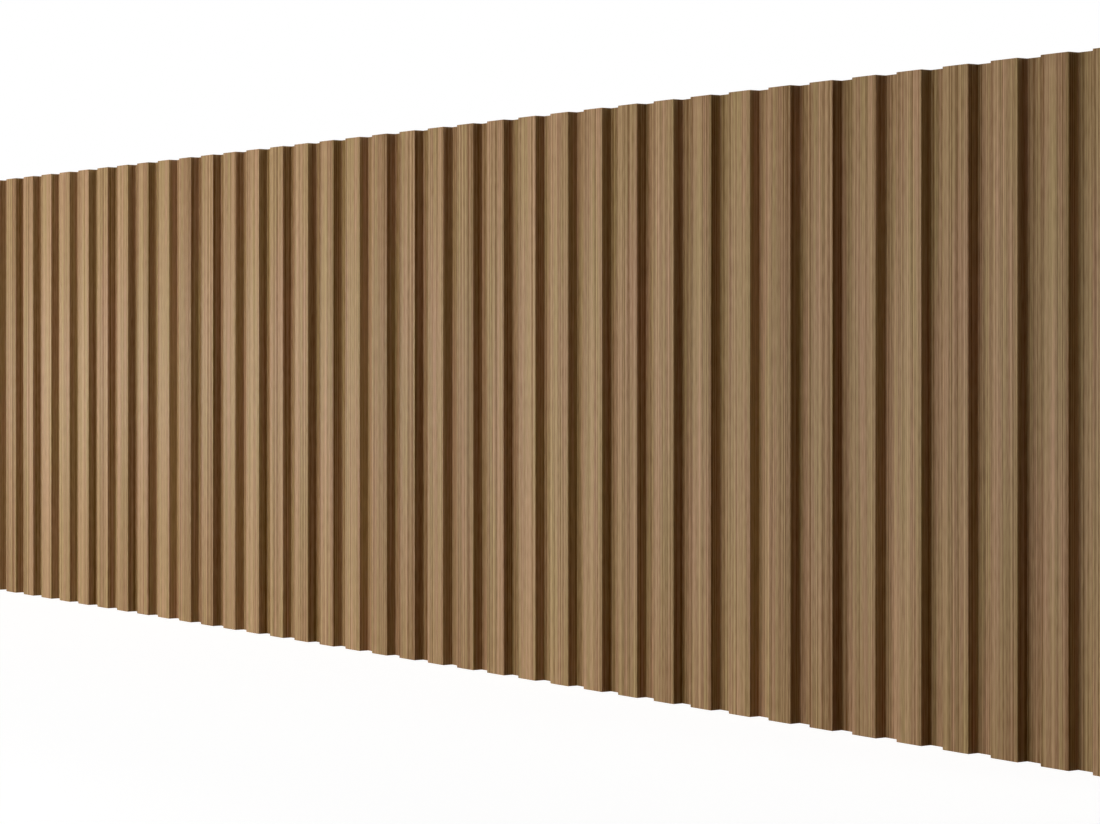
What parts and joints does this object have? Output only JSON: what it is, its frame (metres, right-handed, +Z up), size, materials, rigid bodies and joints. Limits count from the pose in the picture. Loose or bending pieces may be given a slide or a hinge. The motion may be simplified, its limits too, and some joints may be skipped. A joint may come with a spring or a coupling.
{
  "type": "three-dimensional wall panel",
  "caption": "Wall panel of interlocking upright boards with flat tapered ribs and grooves, wrapped in straight-grained brown oak film and fixed to a wall by its flat back.",
  "frame": {"origin": "middle of the run and of its height, on the plane of the wall behind the boards", "axes": "+X along the wall, to the right for someone facing the ribs; +Y into the wall, so the ribs face -Y; +Z up along the ribs"},
  "size_m": [1.334, 0.016, 0.35],
  "materials": {
    "oak_film_board": "matt straight-grained oak film wrapped over a fibreboard moulding"
  },
  "bodies": {
    "root": {"board_01": "oak_film_board", "board_02": "oak_film_board", "board_03": "oak_film_board", "board_04": "oak_film_board", "board_05": "oak_film_board", "board_06": "oak_film_board", "board_07": "oak_film_board", "board_08": "oak_film_board", "board_09": "oak_film_board", "board_10": "oak_film_board", "board_11": "oak_film_board"}
  },
  "joints": []
}
